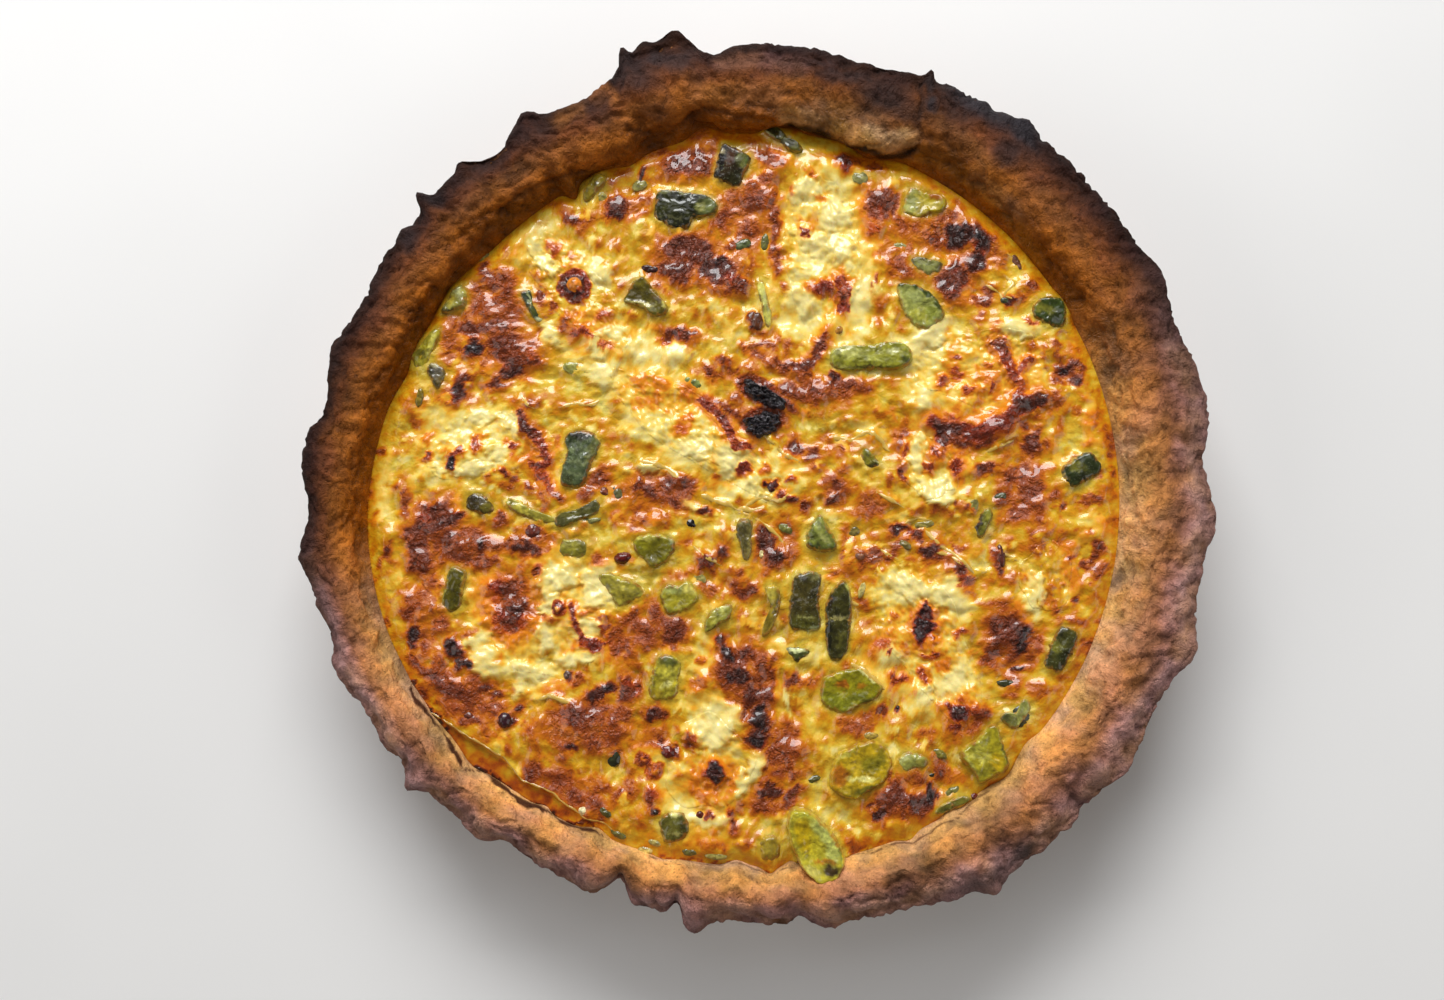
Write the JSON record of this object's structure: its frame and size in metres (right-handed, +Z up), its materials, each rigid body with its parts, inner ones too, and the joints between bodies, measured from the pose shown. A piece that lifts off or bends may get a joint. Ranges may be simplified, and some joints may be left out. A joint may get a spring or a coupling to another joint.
{
  "type": "zucchini tart",
  "caption": "Round open tart in a torn pastry case, custard filling baked brown in patches, with chunks of zucchini and melted cheese sunk in its top.",
  "frame": {"origin": "middle of the flat base of the pastry case", "axes": "+Z up out of the filling, +X to the eater's right, -Y towards the eater"},
  "size_m": [0.2861, 0.282, 0.0452],
  "materials": {
    "crust": "dry baked shortcrust pastry, browned at the edge",
    "custard": "oily baked custard with browned patches",
    "cheese": "melted cheese with toasted spots",
    "rind": "cooked dark green zucchini rind",
    "flesh": "cooked yellow-green zucchini flesh",
    "charred": "charred crisp bits"
  },
  "bodies": {
    "root": {"crust": "crust", "filling": "custard", "zucchini_01": "rind", "zucchini_02": "rind", "zucchini_03": "rind", "zucchini_04": "flesh", "zucchini_05": "rind", "zucchini_06": "rind", "zucchini_07": "rind", "zucchini_08": "rind", "zucchini_09": "rind", "zucchini_10": "flesh", "zucchini_11": "rind", "zucchini_12": "flesh", "zucchini_13": "rind", "zucchini_14": "rind", "zucchini_15": "rind", "zucchini_16": "rind", "zucchini_17": "rind", "zucchini_18": "rind", "zucchini_19": "flesh", "zucchini_20": "rind", "zucchini_21": "rind", "zucchini_22": "flesh", "zucchini_23": "rind", "zucchini_24": "rind", "zucchini_25": "rind", "zucchini_26": "rind", "zucchini_27": "rind", "zucchini_28": "rind", "zucchini_29": "rind", "zucchini_30": "rind", "zucchini_31": "flesh", "zucchini_32": "flesh", "zucchini_33": "flesh", "zucchini_34": "rind", "zucchini_35": "flesh", "zucchini_36": "rind", "zucchini_37": "rind", "zucchini_38": "rind", "zucchini_39": "rind", "zucchini_40": "rind", "zucchini_41": "rind", "zucchini_42": "rind", "zucchini_43": "rind", "zucchini_44": "rind", "zucchini_45": "flesh", "cheese_1": "cheese", "cheese_2": "cheese", "cheese_3": "cheese", "cheese_4": "cheese", "cheese_5": "cheese", "cheese_6": "cheese", "cheese_7": "cheese", "cheese_8": "cheese", "cheese_9": "cheese", "cheese_10": "cheese", "charred_bit_1": "charred", "charred_bit_2": "charred"}
  },
  "joints": []
}
